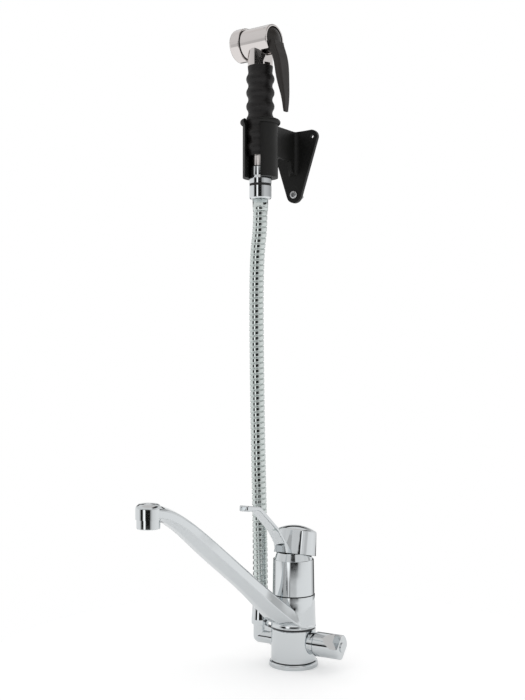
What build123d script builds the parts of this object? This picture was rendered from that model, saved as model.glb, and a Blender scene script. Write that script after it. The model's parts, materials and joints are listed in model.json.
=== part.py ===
"""A single-lever sink mixer with a side valve that feeds a wall-held trigger spray through a ribbed hose.

Millimetres, +Z up. The origin is the centre of the base on the deck. The front is -Y, the wall is on
the +Y side, the side valve points along +X and the hose rises on the -X side.
"""

from build123d import *
from math import cos, radians, sin, sqrt, tan
import os

# Clearances
running_gap = 0.06
turning_gap = 0.3
axial_gap = 0.2
thread_gap = 0.1
seat_gap = 0.2
# How far a cutting shape runs past the face it opens, and how far joined shapes reach into each other
cut_margin = 1.0
joint_depth = 1.0

# Base and lower body
flange_radius = 25.0
flange_height = 5.0
flange_rounding = 1.5
gasket_outer_radius = 23.5
gasket_inner_radius = 18.5
gasket_height = 1.5
spigot_radius = 16.0
body_radius = 22.85
body_height = 32.0
body_seal_height = 1.0
body_seal_setback = 0.7
body_edge = 0.5
inlet_offset = 11.0
inlet_thread_radius = 4.5
inlet_thread_depth = 15.0
inlet_channel_radius = 3.0
stud_offset = 10.5
stud_hole_radius = 3.4
stud_hole_depth = 11.0
mixed_channel_radius = 3.5

# Barrel that carries the spout
barrel_radius = 16.8
barrel_groove_depth = 1.8
chamber_groove_width = 12.0
slide_ring_height = 2.0
slide_ring_setback = 0.9
top_ring_height = 0.8
top_ring_setback = 0.6
spout_oring_section = 1.9
spout_oring_inset = 4.6

# Spout
spout_ring_height = 31.9
spout_ring_top_radius = 21.95
ring_foot_radius = 23.3
ring_foot_height = 3.2
ring_foot_edge = 0.6
spout_yaw = 17.0
spout_reach = 185.0
spout_bore_radius = 4.6
spout_bore_turn = 6.0
# Seven sections of the spout's arm: their shares of the way out to the nose and of the climb from the
# ring's foot to the nose's top, the slope there, and the half widths at the shoulders and at the side ridges,
# the drop of the ridges and the depth.
# The first is as wide as the ring and the last as wide as the nose, so that its sides run into theirs.
arm_reach_shares = (0.0108, 0.0811, 0.2432, 0.4595, 0.6757, 0.8108, 0.99)
arm_climb_shares = (0.1067, 0.1784, 0.3462, 0.5709, 0.7921, 0.9087, 0.9905)
arm_slopes = (38.0, 38.0, 38.5, 38.5, 36.5, 25.0, 8.0)
arm_sections = (
    (20.0, 20.9, 14.6, 18.6),
    (15.6, 17.8, 14.8, 22.6),
    (9.8, 12.2, 13.0, 21.1),
    (9.1, 11.4, 12.0, 19.5),
    (9.0, 11.1, 11.3, 18.2),
    (9.8, 11.2, 10.8, 15.6),
    (11.5, 11.75, 12.2, 12.9),
)
arm_shoulder_share = 0.26
arm_bottom_share = 0.4
arm_corner = 1.6
shoulder_corner = 2.6
crest_corner = 5.0
nose_radius = 11.9
nose_bottom = 168.0
nose_height = 14.6
nose_crown = 0.8
nose_rounding = 5.0
nose_socket_radius = 9.6
nose_socket_depth = 7.2

# Aerator
aerator_radius = 10.9
aerator_height = 8.4
aerator_wall = 2.4
aerator_lip = 0.9
aerator_lip_height = 1.4
aerator_thread_length = 4.6
aerator_washer_height = 2.0
aerator_insert_height = 5.5
aerator_hole_radius = 0.6
aerator_hole_pitch = 2.3
aerator_hole_rows = 5
aerator_chamfer = 0.6

# Upper body
sleeve_height = 35.0
sleeve_bottom_radius = 21.35
sleeve_top_radius = 20.8
sleeve_bore_radius = 17.6
seat_rise = 5.0
collar_height = 7.2
collar_radius = 19.5
collar_taper = 2.2
collar_bore_radius = 15.6

# Cartridge
base_seal_height = 1.0
base_seal_radius = 16.0
housing_height = 20.5
housing_floor = 4.0
housing_shoulder = 3.5
housing_cavity_radius = 14.2
housing_mouth_radius = 11.6
disc_height = 3.5
moving_disc_radius = 11.6
moving_disc_height = 4.0
disc_pocket_depth = 2.5
disc_pocket_gap = 0.5
port_offset = 7.5
port_radius = 2.4
rotor_foot_height = 4.6
rotor_hub_height = 8.0
rotor_slot_half_length = 5.8
cartridge_nut_height = 6.0
cartridge_nut_bore = 12.4
nut_notch_width = 4.0
nut_notch_depth = 2.0
stem_side = 8.0
stem_rise = 26.0
stem_neck_radius = 2.3
stem_neck_top_drop = 6.0
stem_neck_drop = 11.2
stem_pin_radius = 1.5
stem_pin_inset = 0.5
stem_lean = 12.5
pivot_rise = 21.9

# Handle. At rest its cap leans back and the stem under it leans forward, to swing as far each way.
handle_tilt = 12.5
cap_rise = 12.7
cap_height = 24.3
cap_crown = 5.4
cap_bottom_radius = 21.7
cap_top_radius = 20.2
cap_rim_rounding = 2.0
cap_wall = 1.8
cap_cavity_depth = 17.0
cap_cavity_corner = 2.0
boss_radius = 7.0
boss_rise = 17.0
boss_length = 16.0
socket_gap = 0.1
grub_radius = 2.4
grub_length = 6.0
grub_rise = 20.5
grub_key_radius = 1.2
grub_key_depth = 2.5
plug_length = 3.2
plug_proud = 0.4
plug_rounding = 0.3
# Lever, from the side: corners as distance forward of the pivot and rise above it, and their roundings.
# Its foot stands on the cap's bottom plane, and its tab is nearly level.
lever_foot_reach = 27.0
lever_root_reach = 14.5
lever_under_corners = ((29.6, 28.0), (42.0, 41.5), (77.5, 67.0), (100.0, 69.0))
lever_under_roundings = (10.0, 30.0, 12.0)
lever_over_corners = ((99.6, 74.6), (76.0, 70.8), (40.0, 44.3))
lever_over_roundings = (15.0, 30.0)
lever_tip_rounding = 2.4
lever_root_half_width = 7.4
lever_tip_half_width = 5.2
lever_rounding = 1.3

# Side valve and knob, along +X
valve_height = 24.5
valve_boss_radius = 11.0
valve_boss_reach = 26.0
valve_bore_radius = 8.2
valve_bore_bottom = 5.0
headwork_collar_radius = 9.4
headwork_collar_width = 2.3
headwork_stub_radius = 7.0
headwork_stub_length = 7.0
valve_disc_radius = 7.4
valve_disc_width = 2.6
valve_port_offset = 4.4
valve_port_radius = 2.1
spindle_radius = 4.4
spindle_reach = 46.0
spindle_groove_depth = 1.1
spindle_groove_inset = 6.0
spindle_oring_section = 1.0
knob_radius = 12.2
knob_start = 27.4
knob_recess_depth = 8.0
knob_wall = 2.2
knob_cavity_depth = 10.5
knob_flat_distance = 8.6
knob_flat_length = 7.5
knob_flat_runout = 9.5
knob_rounding = 1.0
knob_screw_head_radius = 3.8
knob_screw_head_height = 2.4
knob_screw_radius = 2.0
knob_screw_length = 9.0
knob_screw_seat = 1.0
knob_screw_slot = 1.0
knob_cap_radius = 4.9
knob_cap_height = 1.2
knob_cap_stem = 4.0
knob_cap_step = 0.6
knob_cap_rounding = 0.7

# Outlet elbow and hose column, on the -X side
hose_x = -39.3
outlet_boss_radius = 8.4
outlet_boss_reach = 24.6
outlet_socket_radius = 5.6
outlet_socket_depth = 9.0
elbow_radius = 7.2
elbow_bore_radius = 3.6
elbow_rise = 20.5
elbow_web_rise = 12.0
elbow_web_fall = 2.0
elbow_web_thickness = 6.0
elbow_oring_section = 1.4
elbow_groove_inset = 3.0
nipple_end_gap = 1.0
hose_radius = 7.6
hose_bore_radius = 4.2
lower_nut_bottom = 37.0
lower_nut_height = 23.0
lower_nut_radius = 9.2
lower_nut_top_radius = 7.8
lower_nut_foot_chamfer = 0.2
lower_nut_shoulder = 5.0
washer_height = 1.4

# Upper nut and connector
upper_nut_bottom = 479.4
upper_nut_height = 13.6
upper_nut_radius = 11.6
upper_nut_rounding = 2.0
upper_nut_floor = 2.4
connector_thread_radius = 10.2
connector_thread_length = 8.0
seal_ring_height = 2.6
seal_ring_radius = 11.3
seal_ring_bore_radius = 10.4
connector_wide_height = 5.3
connector_height = 18.3
connector_radius = 10.3
connector_taper_height = 3.0
connector_chamfer = 1.0
connector_bore_radius = 3.6
swivel_radius = 5.4
swivel_length = 6.5
swivel_oring_section = 1.4
ferrule_radius = 6.2
ferrule_head_radius = 7.0
ferrule_head_height = 1.6

# Handset
handset_yaw = -7.0
fitting_height = 10.6
fitting_radius = 9.2
stem_radius = 10.0
stem_channel_radius = 3.8
grip_length = 93.5
grip_radius = 12.7
grip_rib_height = 2.15
grip_rib_pitch = 14.3
grip_rib_count = 6
grip_first_rib = 8.9
grip_end_radius = 13.3
neck_radius = 13.2
head_rise = 25.6
head_radius = 15.7
head_front = 14.8
head_back = 18.6
head_wall = 2.1
head_back_depth = 12.6
head_front_depth = 10.0
head_front_bore_radius = 13.9
head_rim_rounding = 1.0
notch_half_width = 10.9
notch_inset = 3.0
head_oring_width = 1.2
head_oring_radius = 15.5
nozzle_radius = 17.5
nozzle_length = 12.8
nozzle_wall = 2.2
nozzle_thread_length = 6.0
nozzle_rounding = 2.6
nozzle_back_rounding = 0.8
face_setback = 1.5
face_thickness = 2.6
face_ledge = 1.0
spray_hole_radius = 0.7
spray_hole_circles = ((3.6, 6), (6.6, 12), (9.6, 18))

# Trigger and valve of the handset
trigger_pivot_x = 14.5
trigger_pivot_rise = 8.5
trigger_pin_radius = 1.6
trigger_pin_half_length = 12.7
plug_radius = 12.3
plug_front = 12.0
plug_dome = 4.0
plug_edge = 0.6
# Blade of the trigger: drop below the head's axis, inner and outer distance from the grip's axis, width
trigger_stations = (
    (3.0, 13.0, 24.6, 20.0),
    (17.5, 20.6, 28.8, 19.6),
    (27.0, 23.0, 31.2, 18.0),
    (42.6, 25.2, 33.0, 15.2),
    (55.6, 28.2, 34.2, 11.6),
    (66.0, 30.3, 34.5, 8.8),
    (76.8, 31.4, 34.2, 5.6),
)
trigger_edge_share = 0.3
plunger_radius = 1.9
plunger_head_radius = 5.0
plunger_head_width = 2.0
plunger_seal_width = 1.2
plunger_travel = 1.5
spring_radius = 4.0
spring_wire_radius = 0.4
spring_room = 5.0
spring_post_radius = 2.4
plunger_guide_gap = 1.3

# Holder and wall plate
holder_height = 60.9
holder_radius = 18.5
holder_bore_radius = 15.3
holder_ledge_height = 22.8
holder_ledge_radius = 12.3
holder_slot_width = 18.5
bead_radius = 2.9
wall_y = 78.1
plate_thickness = 4.5
plate_top_centre_rise = 54.7
plate_bottom_centre_drop = 7.8
plate_top_half_width = 21.5
plate_top_corner_radius = 7.5
plate_bottom_corner_radius = 9.0
plate_top_sag = 0.8
wall_hole_spacing = 45.0
wall_hole_radius = 1.9
arm_thickness = 4.5
arm_flare = 5.0
arm_bottom_rise = 27.5
arm_top_drop = 1.0
arm_top_inset = 0.3
arm_rib_reach = 11.0
arm_rib_lean = 2.0
arm_rib_height = 10.0
arm_rib_foot = 5.0
screw_head_radius = 4.4
screw_head_height = 2.4
screw_shank_radius = 1.75
screw_length = 20.0
screw_recess_depth = 1.5
screw_recess_width = 1.1
screw_recess_length = 4.6
screw_head_rounding = 2.0

# Route of the hose: offset from the hose column along X, and height above the deck
hose_route = (
    (0.0, 60.0),
    (0.0, 100.0),
    (-1.0, 155.0),
    (-2.9, 225.0),
    (-4.3, 310.0),
    (-4.9, 380.0),
    (-3.7, 425.0),
    (0.0, 450.0),
    (0.0, 479.4),
)
hose_rib_count = 74
hose_rib_depth = 1.1
hose_end_straight = 15.2
hose_end_step = 0.5

# Heights and places worked out from the sizes above
body_bottom = flange_height + body_seal_height
body_top = body_bottom + body_height
slide_top = body_top + slide_ring_height
ring_bottom = slide_top + axial_gap
ring_top = ring_bottom + spout_ring_height
sleeve_bottom = ring_top + axial_gap + top_ring_height
sleeve_top = sleeve_bottom + sleeve_height
seat_z = sleeve_bottom + seat_rise
ring_bore_radius = barrel_radius + turning_gap
chamber_z = (ring_bottom + ring_top) / 2
housing_bottom = seat_z + base_seal_height
housing_top = housing_bottom + housing_height
pivot_z = seat_z + pivot_rise
barrel_groove_radius = barrel_radius - barrel_groove_depth
nose_top = nose_bottom + nose_height

tap_section = Plane.XZ
stem_up = Vector(0, -sin(radians(stem_lean)), cos(radians(stem_lean)))
stem_plane = Plane(origin=(0, 0, pivot_z), x_dir=(1, 0, 0), z_dir=tuple(stem_up))
stem_back = stem_plane.y_dir
valve_section = Plane(origin=(0, 0, valve_height), x_dir=(1, 0, 0), z_dir=(0, -1, 0))
valve_axis = Axis((0, 0, valve_height), (1, 0, 0))
column_section = Plane(origin=(hose_x, 0, 0), x_dir=(1, 0, 0), z_dir=(0, -1, 0))
column_axis = Axis((hose_x, 0, 0), (0, 0, 1))

spout_direction = Vector(-sin(radians(spout_yaw)), -cos(radians(spout_yaw)), 0)
spout_side = Vector(cos(radians(spout_yaw)), -sin(radians(spout_yaw)), 0)
nose_centre = spout_direction * spout_reach
nose_section = Plane(origin=nose_centre, x_dir=tuple(spout_side), z_dir=tuple(spout_direction))
nose_axis = Axis(tuple(nose_centre), (0, 0, 1))

hand_x = Vector(cos(radians(handset_yaw)), sin(radians(handset_yaw)), 0)
hand_normal = Vector(sin(radians(handset_yaw)), -cos(radians(handset_yaw)), 0)


def outline(plane, *points):
    """A closed straight-sided outline on a plane."""
    with BuildSketch(plane) as sketch:
        with BuildLine():
            Polyline(*points, close=True)
        make_face()
    return sketch.sketch


def oring(plane, inner_radius, outer_radius, height):
    """The round section of a seal ring, at a height on a section plane."""
    with BuildSketch(plane) as sketch:
        with Locations(((inner_radius + outer_radius) / 2, height)):
            Circle((outer_radius - inner_radius) / 2)
    return sketch.sketch


# Base gasket
with BuildPart() as base_gasket:
    with BuildSketch(Plane.XY):
        Circle(gasket_outer_radius)
        Circle(gasket_inner_radius, mode=Mode.SUBTRACT)
    extrude(amount=gasket_height)

# Base flange, a ring round the spigot with a groove for the gasket
with BuildPart() as base_flange:
    with BuildSketch(Plane.XY):
        Circle(flange_radius)
        Circle(spigot_radius + thread_gap, mode=Mode.SUBTRACT)
    extrude(amount=flange_height)
    with BuildSketch(Plane.XY):
        Circle(gasket_outer_radius + thread_gap)
        Circle(gasket_inner_radius - thread_gap, mode=Mode.SUBTRACT)
    extrude(amount=gasket_height, mode=Mode.SUBTRACT)
    rim = base_flange.edges().filter_by(GeomType.CIRCLE).group_by(SortBy.RADIUS)[-1]
    fillet(rim.sort_by(Axis.Z)[-1], flange_rounding)

# Seal ring between flange and body, set back into a dark line
with BuildPart() as body_seal:
    with BuildSketch(Plane.XY.offset(flange_height)):
        Circle(body_radius - body_seal_setback)
        Circle(spigot_radius + thread_gap, mode=Mode.SUBTRACT)
    extrude(amount=body_seal_height)

# Lower body: spigot, body, barrel and the two side bosses
with BuildPart() as lower_body:
    with BuildSketch(Plane.XY):
        Circle(spigot_radius)
    extrude(amount=body_bottom)
    with BuildSketch(Plane.XY.offset(body_bottom)):
        Circle(body_radius)
    extrude(amount=body_height)
    chamfer(lower_body.faces().sort_by(Axis.Z)[-1].edges(), body_edge)
    with BuildSketch(Plane.XY.offset(body_top)):
        Circle(barrel_radius)
    extrude(amount=seat_z - body_top)
    with BuildSketch(Plane.YZ):
        with Locations((0, valve_height)):
            Circle(valve_boss_radius)
    extrude(amount=valve_boss_reach)
    with BuildSketch(Plane.YZ):
        with Locations((0, valve_height)):
            Circle(outlet_boss_radius)
    extrude(amount=-outlet_boss_reach)
    # Bore of the side valve, cross channel and outlet socket
    with BuildSketch(Plane.YZ.offset(valve_bore_bottom)):
        with Locations((0, valve_height)):
            Circle(valve_bore_radius)
    extrude(amount=valve_boss_reach, mode=Mode.SUBTRACT)
    with BuildSketch(Plane.YZ.offset(-outlet_boss_reach)):
        with Locations((0, valve_height)):
            Circle(mixed_channel_radius)
    extrude(amount=outlet_boss_reach + valve_bore_bottom, mode=Mode.SUBTRACT)
    with BuildSketch(Plane.YZ.offset(-outlet_boss_reach)):
        with Locations((0, valve_height)):
            Circle(outlet_socket_radius)
    extrude(amount=outlet_socket_depth, mode=Mode.SUBTRACT)
    # Mixed water channel and its ports to the spout
    with BuildSketch(Plane.XY.offset(valve_height)):
        Circle(mixed_channel_radius)
    extrude(amount=seat_z - valve_height, mode=Mode.SUBTRACT)
    with BuildSketch(Plane.YZ.offset(-barrel_radius)):
        with Locations((0, chamber_z)):
            Circle(inlet_channel_radius)
    extrude(amount=2 * barrel_radius, mode=Mode.SUBTRACT)
    # Inlets with their threaded ends, and the stud holes
    with BuildSketch(Plane.XY):
        with Locations((0, inlet_offset), (0, -inlet_offset)):
            Circle(inlet_channel_radius)
    extrude(amount=seat_z, mode=Mode.SUBTRACT)
    with BuildSketch(Plane.XY):
        with Locations((0, inlet_offset), (0, -inlet_offset)):
            Circle(inlet_thread_radius)
    extrude(amount=inlet_thread_depth, mode=Mode.SUBTRACT)
    with BuildSketch(Plane.XY):
        with Locations((stud_offset, 0), (-stud_offset, 0)):
            Circle(stud_hole_radius)
    extrude(amount=stud_hole_depth, mode=Mode.SUBTRACT)
    # Annular chamber and the two seal grooves round the barrel
    groove_widths = {
        chamber_z: chamber_groove_width,
        ring_bottom + spout_oring_inset: spout_oring_section + 2 * thread_gap,
        ring_top - spout_oring_inset: spout_oring_section + 2 * thread_gap,
    }
    for groove_z, groove_width in groove_widths.items():
        with BuildSketch(Plane.XY.offset(groove_z - groove_width / 2)):
            Circle(barrel_radius + running_gap)
            Circle(barrel_groove_radius, mode=Mode.SUBTRACT)
        extrude(amount=groove_width, mode=Mode.SUBTRACT)

# Slide rings under the spout's ring and on top of it
with BuildPart() as spout_slide_ring:
    with BuildSketch(Plane.XY.offset(body_top)):
        Circle(body_radius - slide_ring_setback)
        Circle(barrel_radius + thread_gap, mode=Mode.SUBTRACT)
    extrude(amount=slide_ring_height)
with BuildPart() as spout_top_ring:
    with BuildSketch(Plane.XY.offset(sleeve_bottom)):
        Circle(sleeve_bottom_radius - top_ring_setback)
        Circle(barrel_radius + thread_gap, mode=Mode.SUBTRACT)
    extrude(amount=-top_ring_height)

# Seal rings between barrel and spout
oring_reach = ring_bore_radius - running_gap
oring_floor = oring_reach - spout_oring_section
with BuildPart() as lower_spout_oring:
    revolve(oring(tap_section, oring_floor, oring_reach, ring_bottom + spout_oring_inset), axis=Axis.Z)
with BuildPart() as upper_spout_oring:
    revolve(oring(tap_section, oring_floor, oring_reach, ring_top - spout_oring_inset), axis=Axis.Z)

# Spout: swivel ring, faceted arm and round nose


def arm_plane(distance, rise, slope):
    """The plane across the arm at a station of its crest."""
    along = spout_direction * cos(radians(slope)) + Vector(0, 0, sin(radians(slope)))
    place = spout_direction * distance + Vector(0, 0, ring_bottom + rise)
    return Plane(origin=tuple(place), x_dir=tuple(spout_side), z_dir=tuple(along))


arm_distances = [spout_reach * share for share in arm_reach_shares]
arm_rises = [(nose_top - ring_bottom) * share for share in arm_climb_shares]
arm_planes = [arm_plane(*station) for station in zip(arm_distances, arm_rises, arm_slopes)]
with BuildPart() as spout:
    for plane, (shoulder_width, half_width, ridge_drop, depth) in zip(arm_planes, arm_sections):
        shoulder = (shoulder_width, -ridge_drop * arm_shoulder_share)
        ridge = (half_width, -ridge_drop)
        foot = (half_width * arm_bottom_share, -depth)
        left = [(-x, y) for x, y in (foot, ridge, shoulder)]
        with BuildSketch(plane) as section:
            with BuildLine():
                Polyline((0, 0), shoulder, ridge, foot, *left, close=True)
            make_face()
            rows = section.vertices().group_by(Axis.Y)
            fillet(section.vertices() - rows[-1] - rows[-2], arm_corner)
            fillet(section.vertices().group_by(Axis.Y)[-2], shoulder_corner)
            fillet(section.vertices().group_by(Axis.Y)[-1], crest_corner)
    loft()
    # Round nose with its domed top
    with BuildSketch(nose_section) as nose_half:
        with BuildLine():
            Polyline(
                (0, nose_bottom),
                (nose_radius, nose_bottom),
                (nose_radius, nose_top - nose_crown),
                (0, nose_top),
                close=True,
            )
        make_face()
        fillet(nose_half.vertices().sort_by(Axis.X)[-2:].sort_by(Axis.Y)[-1], nose_rounding)
    revolve(axis=nose_axis)
    # Swivel ring, which flares into its foot
    with BuildSketch(tap_section):
        with BuildLine():
            foot_share = ring_foot_height / spout_ring_height
            foot_start = body_radius + (spout_ring_top_radius - body_radius) * foot_share
            ring_wall = Line((spout_ring_top_radius, ring_top), (foot_start, ring_bottom + ring_foot_height))
            flare = TangentArc(
                ring_wall @ 1, (ring_foot_radius, ring_bottom + ring_foot_edge), tangent=ring_wall % 1
            )
            Polyline(
                flare @ 1, (ring_foot_radius, ring_bottom), (0, ring_bottom), (0, ring_top), ring_wall @ 0
            )
        make_face()
    revolve(axis=Axis.Z)
    with BuildSketch(Plane.XY.offset(ring_bottom)):
        Circle(ring_bore_radius)
    extrude(amount=spout_ring_height, mode=Mode.SUBTRACT)
    # The arm's root ends flush with the ring's underside
    with BuildSketch(Plane.XY.offset(ring_bottom)):
        Circle(2 * body_radius)
    extrude(amount=-body_height, mode=Mode.SUBTRACT)
    # Water way through the arm, and the aerator's socket
    middle = [
        plane.from_local_coords((0, -depth / 2, 0))
        for plane, (*widths, depth) in zip(arm_planes, arm_sections)
    ]
    nose_inside = Vector(nose_centre.X, nose_centre.Y, middle[-1].Z)
    with BuildLine() as water_way:
        nose_mouth = Vector(nose_centre.X, nose_centre.Y, nose_bottom - aerator_height)
        FilletPolyline(*middle[:-1], nose_inside, nose_mouth, radius=spout_bore_turn)
    with BuildSketch(Plane(origin=water_way.line @ 0, z_dir=water_way.line % 0)):
        Circle(spout_bore_radius)
    sweep(path=water_way.wire(), mode=Mode.SUBTRACT)
    with BuildSketch(Plane.XY.offset(nose_bottom)):
        with Locations((nose_centre.X, nose_centre.Y)):
            Circle(nose_socket_radius)
    extrude(amount=nose_socket_depth, mode=Mode.SUBTRACT)
    # Room for the aerator where the arm's underside meets the nose
    with BuildSketch(Plane.XY.offset(nose_bottom)):
        with Locations((nose_centre.X, nose_centre.Y)):
            Circle(aerator_radius + turning_gap)
    extrude(amount=-aerator_height, mode=Mode.SUBTRACT)

# Aerator: screw housing, insert and washer
aerator_top = nose_bottom - axial_gap
aerator_bottom = aerator_top - aerator_height
aerator_bore_radius = aerator_radius - aerator_wall
thread_top = nose_bottom + aerator_thread_length
with BuildPart() as aerator_housing:
    revolve(
        outline(
            nose_section,
            (aerator_bore_radius - aerator_lip, aerator_bottom),
            (aerator_radius, aerator_bottom),
            (aerator_radius, aerator_top),
            (nose_socket_radius - thread_gap, aerator_top),
            (nose_socket_radius - thread_gap, thread_top),
            (aerator_bore_radius, thread_top),
            (aerator_bore_radius, aerator_bottom + aerator_lip_height),
            (aerator_bore_radius - aerator_lip, aerator_bottom + aerator_lip_height),
        ),
        axis=nose_axis,
    )
    chamfer(aerator_housing.faces().sort_by(Axis.Z)[0].outer_wire().edges(), aerator_chamfer)

with BuildPart() as aerator_insert:
    insert_bottom = aerator_bottom + aerator_lip_height
    with BuildSketch(Plane.XY.offset(insert_bottom)):
        with Locations((nose_centre.X, nose_centre.Y)):
            Circle(aerator_bore_radius - thread_gap)
            with HexLocations(aerator_hole_pitch / sqrt(3), aerator_hole_rows, aerator_hole_rows):
                Circle(aerator_hole_radius, mode=Mode.SUBTRACT)
    extrude(amount=aerator_insert_height)

with BuildPart() as aerator_washer:
    with BuildSketch(Plane.XY.offset(thread_top)):
        with Locations((nose_centre.X, nose_centre.Y)):
            Circle(nose_socket_radius - thread_gap)
            Circle(aerator_bore_radius, mode=Mode.SUBTRACT)
    extrude(amount=aerator_washer_height)

# Upper body sleeve, screwed on the barrel
with BuildPart() as upper_body:
    revolve(
        outline(
            tap_section,
            (barrel_radius + thread_gap, sleeve_bottom),
            (sleeve_bottom_radius, sleeve_bottom),
            (sleeve_top_radius, sleeve_top),
            (sleeve_bore_radius, sleeve_top),
            (sleeve_bore_radius, seat_z),
            (barrel_radius + thread_gap, seat_z),
        ),
        axis=Axis.Z,
    )

# Collar ring in the sleeve's mouth
collar_top = sleeve_top + collar_height
nut_top = housing_top + cartridge_nut_height
with BuildPart() as collar_ring:
    revolve(
        outline(
            tap_section,
            (collar_bore_radius, nut_top),
            (sleeve_bore_radius - thread_gap, nut_top),
            (sleeve_bore_radius - thread_gap, sleeve_top),
            (collar_radius, sleeve_top),
            (collar_radius - collar_taper, collar_top),
            (collar_bore_radius, collar_top),
        ),
        axis=Axis.Z,
    )

# Cartridge: base seal, housing, fixed and moving disc, rotor, pin, stem and nut
port_places = [(0, port_offset), (0, -port_offset), (port_offset, 0)]
with BuildPart() as cartridge_base_seal:
    with BuildSketch(Plane.XY.offset(seat_z)):
        Circle(base_seal_radius)
        with Locations((0, inlet_offset), (0, -inlet_offset)):
            Circle(inlet_channel_radius, mode=Mode.SUBTRACT)
        Circle(mixed_channel_radius, mode=Mode.SUBTRACT)
    extrude(amount=base_seal_height)

cavity_bottom = housing_bottom + housing_floor
cavity_top = housing_top - housing_shoulder
with BuildPart() as cartridge_housing:
    with BuildSketch(Plane.XY.offset(housing_bottom)):
        Circle(sleeve_bore_radius - thread_gap)
    extrude(amount=housing_height)
    with BuildSketch(Plane.XY.offset(cavity_bottom)):
        Circle(housing_cavity_radius)
    extrude(amount=cavity_top - cavity_bottom, mode=Mode.SUBTRACT)
    with BuildSketch(Plane.XY.offset(cavity_top)):
        Circle(housing_mouth_radius)
    extrude(amount=housing_shoulder, mode=Mode.SUBTRACT)
    with BuildSketch(Plane.XY.offset(housing_bottom)):
        with Locations(*port_places):
            Circle(port_radius)
    extrude(amount=housing_floor, mode=Mode.SUBTRACT)

with BuildPart() as cartridge_fixed_disc:
    with BuildSketch(Plane.XY.offset(cavity_bottom)):
        Circle(housing_cavity_radius - turning_gap)
        with Locations(*port_places):
            Circle(port_radius, mode=Mode.SUBTRACT)
    extrude(amount=disc_height)

moving_disc_bottom = cavity_bottom + disc_height + seat_gap / 2
moving_disc_top = moving_disc_bottom + moving_disc_height
pocket_side = 2 * (stem_neck_radius + disc_pocket_gap)
disc_shift = (pivot_z - moving_disc_top + disc_pocket_depth / 2) * tan(radians(stem_lean))
print("disc shift", round(disc_shift, 2))
with BuildPart() as cartridge_moving_disc:
    with BuildSketch(Plane.XY.offset(moving_disc_bottom)):
        with Locations((0, disc_shift)):
            Circle(moving_disc_radius)
    extrude(amount=moving_disc_height)
    with BuildSketch(Plane.XY.offset(moving_disc_top - disc_pocket_depth)):
        with Locations((0, disc_shift)):
            Rectangle(pocket_side, pocket_side)
    extrude(amount=disc_pocket_depth, mode=Mode.SUBTRACT)

rotor_bottom = moving_disc_top + turning_gap
hub_radius = housing_mouth_radius - turning_gap
with BuildPart() as cartridge_rotor:
    with BuildSketch(Plane.XY.offset(rotor_bottom)):
        Circle(housing_cavity_radius - turning_gap)
    extrude(amount=rotor_foot_height)
    with BuildSketch(Plane.XY.offset(rotor_bottom + rotor_foot_height)):
        Circle(hub_radius)
    extrude(amount=rotor_hub_height)
    with BuildSketch(Plane.XY.offset(rotor_bottom)):
        Rectangle(stem_side + 2 * seat_gap, 2 * rotor_slot_half_length)
    extrude(amount=rotor_foot_height + rotor_hub_height, mode=Mode.SUBTRACT)
    with BuildSketch(Plane.YZ.offset(-hub_radius)):
        with Locations((0, pivot_z)):
            Circle(stem_pin_radius + running_gap)
    extrude(amount=2 * hub_radius, mode=Mode.SUBTRACT)

pin_half_length = hub_radius - stem_pin_inset
with BuildPart() as stem_pin:
    with BuildSketch(Plane.YZ.offset(-pin_half_length)):
        with Locations((0, pivot_z)):
            Circle(stem_pin_radius)
    extrude(amount=2 * pin_half_length)

with BuildPart() as lever_stem:
    with BuildSketch(stem_plane.offset(-stem_neck_top_drop)):
        Rectangle(stem_side, stem_side)
    extrude(amount=stem_neck_top_drop + stem_rise)
    with BuildSketch(stem_plane.offset(-stem_neck_drop)):
        Circle(stem_neck_radius)
    extrude(amount=stem_neck_drop - stem_neck_top_drop)
    with BuildSketch(Plane.YZ.offset(-stem_side)):
        with Locations((0, pivot_z)):
            Circle(stem_pin_radius + running_gap)
    extrude(amount=2 * stem_side, mode=Mode.SUBTRACT)

with BuildPart() as cartridge_nut:
    with BuildSketch(Plane.XY.offset(housing_top)):
        Circle(sleeve_bore_radius - thread_gap)
        Circle(cartridge_nut_bore, mode=Mode.SUBTRACT)
    extrude(amount=cartridge_nut_height)
    with BuildSketch(Plane.XY.offset(nut_top - nut_notch_depth)):
        with PolarLocations(sleeve_bore_radius, 4):
            Rectangle(nut_notch_width, nut_notch_width)
    extrude(amount=nut_notch_depth, mode=Mode.SUBTRACT)

# Handle: cap with a crowned top, and the lever blade
lean = Vector(0, sin(radians(handle_tilt)), cos(radians(handle_tilt)))
cap_axis = Axis((0, 0, pivot_z), tuple(lean))
cap_section = Plane(
    origin=(0, 0, pivot_z), x_dir=(1, 0, 0), z_dir=(0, -cos(radians(handle_tilt)), sin(radians(handle_tilt)))
)


def lever_foot(distance):
    """A point of the cap's bottom plane at a distance forward of the pivot."""
    rise = (cap_rise + distance * sin(radians(handle_tilt))) / cos(radians(handle_tilt))
    return (-distance, pivot_z + rise)


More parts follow.
